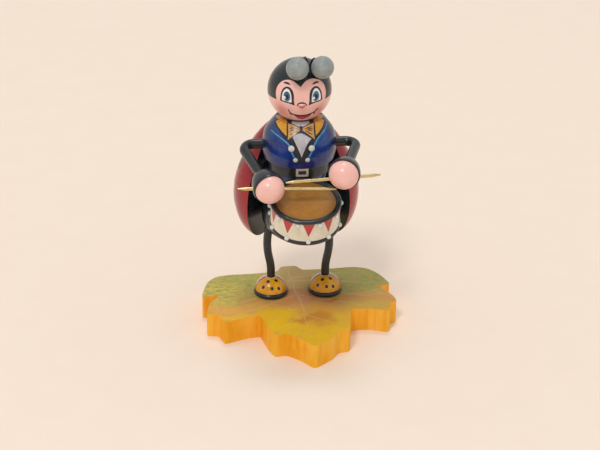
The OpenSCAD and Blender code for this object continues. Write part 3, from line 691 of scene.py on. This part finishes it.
def mouth(on_face):
    smile = [(-5.1, -4.3), (-4.5, -5.6), (-3.5, -6.4), (-2.2, -6.75), (-0.6, -7.0), (0.9, -7.0),
             (2.4, -6.8), (3.8, -6.35), (5.2, -5.7), (6.1, -4.9), (6.5, -4.2)]
    ticks = [[(-4.6, -5.6), (-4.2, -6.3), (-3.9, -7.0)], [(5.2, -5.7), (5.15, -6.4), (5.3, -7.1)]]
    lip = outline([(-3.1, -6.7), (-0.6, -7.05), (0.9, -7.05), (2.4, -6.85), (4.4, -6.2)],
                  [(4.4, -6.2), (3.2, -7.9), (2.0, -8.9), (0.5, -9.4), (-1.3, -8.7), (-3.1, -6.7)])
    paint("lip", ON_HEAD, LIP, on_face, [lip], step=0.5)
    paint("mouth_line", ON_HEAD, LINE, on_face,
          [stroke(smile, 0.58, 0.55)] + [stroke(t, 0.38, 0.5) for t in ticks], 1, 0.4)


def nose(on_face):
    arch = stroke([(-1.75, -2.3), (-1.5, -1.5), (-0.8, -0.95), (0.1, -0.8), (1.0, -1.0), (1.7, -1.5),
                   (2.0, -2.2)], 0.5, 0.5)
    paint("nose_line", ON_HEAD, LINE, on_face, [arch], step=0.25)
    under = outline([(-1.5, -2.0), (-0.7, -1.75), (0.9, -1.75), (1.7, -2.0)],
                    [(1.7, -2.0), (1.2, -2.65), (0.1, -2.9), (-1.0, -2.65), (-1.5, -2.0)])
    paint("nose_shade", ON_HEAD, ROSE, on_face, [under], step=0.25)


# Chest ----------------------------------------------------------------------------------------

ON_JACKET = ("figure", "jacket_enamel")


def seen_on_chest():
    """The torso seen from the front, up to the collar's rim."""
    at = seen_from_front(["torso"], CHEST)
    return lambda x, z: at(x, min(z, RIM))


def shirt(on_chest):
    # The white shirt, painted grey as painted shade under the head
    front = outline([(-3.5, 85.4), (-2.4, 83.2), (-1.0, 80.2), (0.0, 77.6)],
                    [(0.0, 77.6), (1.0, 80.2), (2.4, 83.0), (4.0, 84.6)],
                    [(4.0, 84.6), (0.0, 86.6), (-3.5, 85.4)])
    strip = outline([(-3.4, 89.38), (0.0, 89.38), (3.4, 89.38)],
                    [(3.4, 89.38), (1.8, 88.7), (0.0, 88.2), (-1.8, 88.7), (-3.4, 89.38)])
    paint("shirt", ON_JACKET, SHIRT, on_chest, [front, strip], 1)


def lapels(on_chest):
    """The black bands beside the shirt and round the neck, and the collar's two gold points."""
    band = outline([(-5.6, 84.8), (-4.5, 82.2), (-2.7, 78.6), (-1.3, 76.0), (-0.6, 74.9)],
                   [(-0.6, 74.9), (0.0, 75.6)], [(0.0, 78.4), (-0.6, 80.0), (-2.0, 83.0), (-3.2, 85.6)],
                   [(-3.2, 85.6), (-5.6, 84.8)])
    neck = outline([(-10.2, 88.2), (-8.4, 86.3), (-5.8, 83.6)], [(-5.8, 83.6), (-3.6, 86.0), (-0.5, 87.4)],
                   [(-0.5, 87.4), (-0.5, 88.6), (-3.4, 89.4)], [(-3.4, 89.4), (-8.9, 89.4)],
                   [(-8.9, 89.4), (-10.2, 88.2)])
    point = outline([(-9.6, 88.6), (-8.6, 89.4)], [(-8.6, 89.4), (-5.6, 89.4)], [(-5.6, 89.4), (-5.75, 85.4)],
                    [(-5.75, 85.4), (-7.2, 86.3), (-8.6, 87.4), (-9.6, 88.6)])
    paint("lapel_bands", ON_JACKET, INK, on_chest, both_sides([band, neck]))
    paint("collar_points", ON_JACKET, GOLD, on_chest, both_sides([point]), 1)


def bow_tie(on_chest):
    lobe = outline([(-5.1, 89.35), (-3.6, 89.2), (-1.9, 88.75), (-0.45, 88.3)],
                   [(-0.45, 87.5), (-1.9, 86.7), (-3.5, 85.6), (-5.4, 84.1)],
                   [(-5.4, 84.1), (-5.0, 86.6), (-5.1, 89.35)])
    lobes, knot = both_sides([lobe]), ellipse(0, 87.9, 0.9, 1.05)
    folds = [[(-4.2, 88.5), (-2.8, 88.3), (-1.4, 88.0)], [(-4.3, 85.9), (-2.9, 86.7), (-1.5, 87.5)],
             [(-4.4, 87.2), (-3.4, 87.4), (-2.2, 87.7)], [(-4.6, 87.9), (-3.6, 87.9), (-2.6, 87.95)]]
    paint("tie_outline", ON_JACKET, LINE, on_chest, [grown(t, 0.32) for t in lobes] + [knot], 2, 0.5)
    paint("tie", ON_JACKET, TIE, on_chest, lobes, 3, 0.5)
    paint("tie_folds", ON_JACKET, RUST, on_chest, both_sides([stroke(f, 0.42, 0.2) for f in folds]), 4, 0.4)


def piping(on_chest):
    """Blue edges of the two lapels, which aren't quite alike, and of the tails under the belt."""
    right = [(-11.6, 85.6), (-9.0, 84.8), (-7.1, 83.9), (-5.6, 83.0), (-4.6, 81.6), (-3.9, 79.5),
             (-3.0, 77.7), (-1.9, 75.9)]
    left = [(10.6, 87.4), (9.9, 86.4), (8.0, 85.3), (6.5, 84.2), (5.3, 82.5), (4.3, 80.2), (3.3, 78.2),
            (2.3, 76.0)]
    tail = stroke([(-10.6, 67.0), (-9.9, 65.2), (-9.2, 63.4), (-8.6, 61.6)], 0.7, 0.5)
    edges = [stroke(edge, 0.62, 0.45) for edge in (right, left)]
    paint("piping", ON_JACKET, PIPING, on_chest, edges + both_sides([tail]), 2)


# Wings, shoes and drum ------------------------------------------------------------------------

def wing_spots(side):
    """Black spots, as degrees round from the front to the wing's side, a height and a size."""
    spots = [(82, 66.5, 3.4), (125, 74.0, 2.7), (128, 60.0, 3.5), (92, 49.5, 3.1), (140, 45.5, 2.9),
             (165, 67.5, 2.6)]
    node, sign, radius = side + "_wing", -1 if side == "right" else 1, 12
    centre = middle(node)
    at = seen_round([node], Matrix.Translation((centre.x, centre.y, 0)), radius)
    paint(side + "_wing_spots", ("figure", "wing_enamel"), BLACK, at,
          [ellipse(sign * math.radians(way) * radius, z, size, size * 1.1) for way, z, size in spots])


def shoe_paint(side):
    """Orange vamp with black dots over the front half, and a thin black line where it ends."""
    node, where = side + "_shoe", ("figure", "shoe_enamel")
    centre = middle(node)
    at = seen_from_above([node], Matrix.Translation((centre.x, centre.y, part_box(node)[0].z)) @ TURN)
    near, rim, first, last = 21, 89, 190, 350    # degrees from the shoe's top, and round it
    vamp = ([polar(rim, way) for way in range(first, last + 1, 5)]
            + [polar(near, way) for way in range(last, first - 1, -16)])
    trim = [stroke([polar(tilt, way) for tilt in (near, 50, rim)], 5, 0.8) for way in (first, last)]
    dots = [ellipse(u, v, 7.5, 6.5) for u, v in ((-14, -36), (20, -30), (-38, -52), (2, -66), (34, -60))]
    paint(side + "_vamp", where, ORANGE, at, [vamp], step=6)
    paint(side + "_shoe_marks", where, BLACK, at, trim + dots, 1, 4)


def drum_triangles():
    """Red triangles that hang from the upper hoop, between its silver studs."""
    top, low = middle("drum_skin"), middle("drum_bottom_skin")
    up, across = (top - low).normalized(), Vector((1, 0, 0))
    place = Matrix((across, up.cross(across), up)).transposed().to_4x4()
    place.translation = (top + low) / 2
    shell_low, shell_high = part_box("drum_shell")
    radius = (shell_high.x - shell_low.x) / 2 / MM
    count, half, high, deep = 10, 2.3, 4.5, -1.5
    arcs = [math.tau * radius * i / count for i in range(count)]
    paint("drum_triangles", ("figure", "drum_enamel"), RED, seen_round(["drum_shell"], place, radius),
          [[(arc - half, high), (arc, deep), (arc + half, high)] for arc in arcs])


hair()
face_view = seen_from_front(["head", "nose"], FACE)
for draw in (eyes, mouth, nose):
    draw(face_view)
chest_view = seen_on_chest()
for draw in (shirt, lapels, bow_tie, piping):
    draw(chest_view)
for side in SIDES:
    wing_spots(side)
    shoe_paint(side)
drum_triangles()


# Studio ---------------------------------------------------------------------------------------

def floor():
    size = 12
    mesh = bpy.data.meshes.new("floor")
    corners = [(-size, -size, 0), (size, -size, 0), (size, size, 0), (-size, size, 0)]
    mesh.from_pydata(corners, [], [(0, 1, 2, 3)])
    plane = bpy.data.objects.new("floor", mesh)
    bpy.context.scene.collection.objects.link(plane)
    material, tree, shader = new_material("floor_paper", 0.85, 0.0)
    tone = ramp(tree, noise(tree, 60, 3), [(0.3, (0.915, 0.775, 0.65)), (0.7, (0.93, 0.79, 0.665))])
    finish_surface(tree, shader, tone, noise(tree, 900, 3), 0.1)
    mesh.materials.append(material)


def aim(thing, place, target):
    """Links a light or a camera to the scene at a place, looking at the target."""
    thing.location = place
    thing.rotation_mode = "QUATERNION"
    thing.rotation_quaternion = (Vector(target) - Vector(place)).to_track_quat("-Z", "Y")
    bpy.context.scene.collection.objects.link(thing)


def soft_light(name, place, target, size, power, colour):
    data = bpy.data.lights.new(name, "AREA")
    data.shape, data.size, data.energy, data.color = "DISK", size, power, colour
    aim(bpy.data.objects.new(name, data), place, target)


def studio():
    """A light room with a key light from the left, and plain sRGB so colours stay as set."""
    floor()
    world = bpy.data.worlds.new("studio")
    world.use_nodes = True
    background = world.node_tree.nodes["Background"]
    background.inputs["Color"].default_value = (1.0, 0.99, 0.98, 1)
    background.inputs["Strength"].default_value = 0.66
    bpy.context.scene.world = world
    bpy.context.scene.view_settings.view_transform = "Standard"
    target = (0, 0, 50 * MM)
    soft_light("key_light", (-0.9, -1.6, 2.6), target, 0.7, 28, (1.0, 0.99, 0.97))
    soft_light("top_light", (0.1, 0.9, 2.9), target, 0.8, 13, (1.0, 0.99, 0.98))


def camera():
    """A long lens 25 degrees above the floor and a little to the figure's right, rolled slightly."""
    azimuth, elevation, roll, distance = math.radians(-6), math.radians(25), math.radians(0.5), 0.8
    orbited, aimed_at = Vector((-0.9, -3.6, 57)) * MM, Vector((-1.3, -7, 49.7)) * MM
    back = Vector((math.sin(azimuth) * math.cos(elevation), -math.cos(azimuth) * math.cos(elevation),
                   math.sin(elevation)))
    data = bpy.data.cameras.new("camera")
    data.lens, data.sensor_width = 120, 36
    data.clip_start, data.clip_end = 0.05, 60
    view = bpy.data.objects.new("camera", data)
    aim(view, orbited + back * distance, aimed_at)
    view.rotation_quaternion @= Quaternion((0, 0, 1), roll)
    bpy.context.scene.camera = view


studio()
camera()
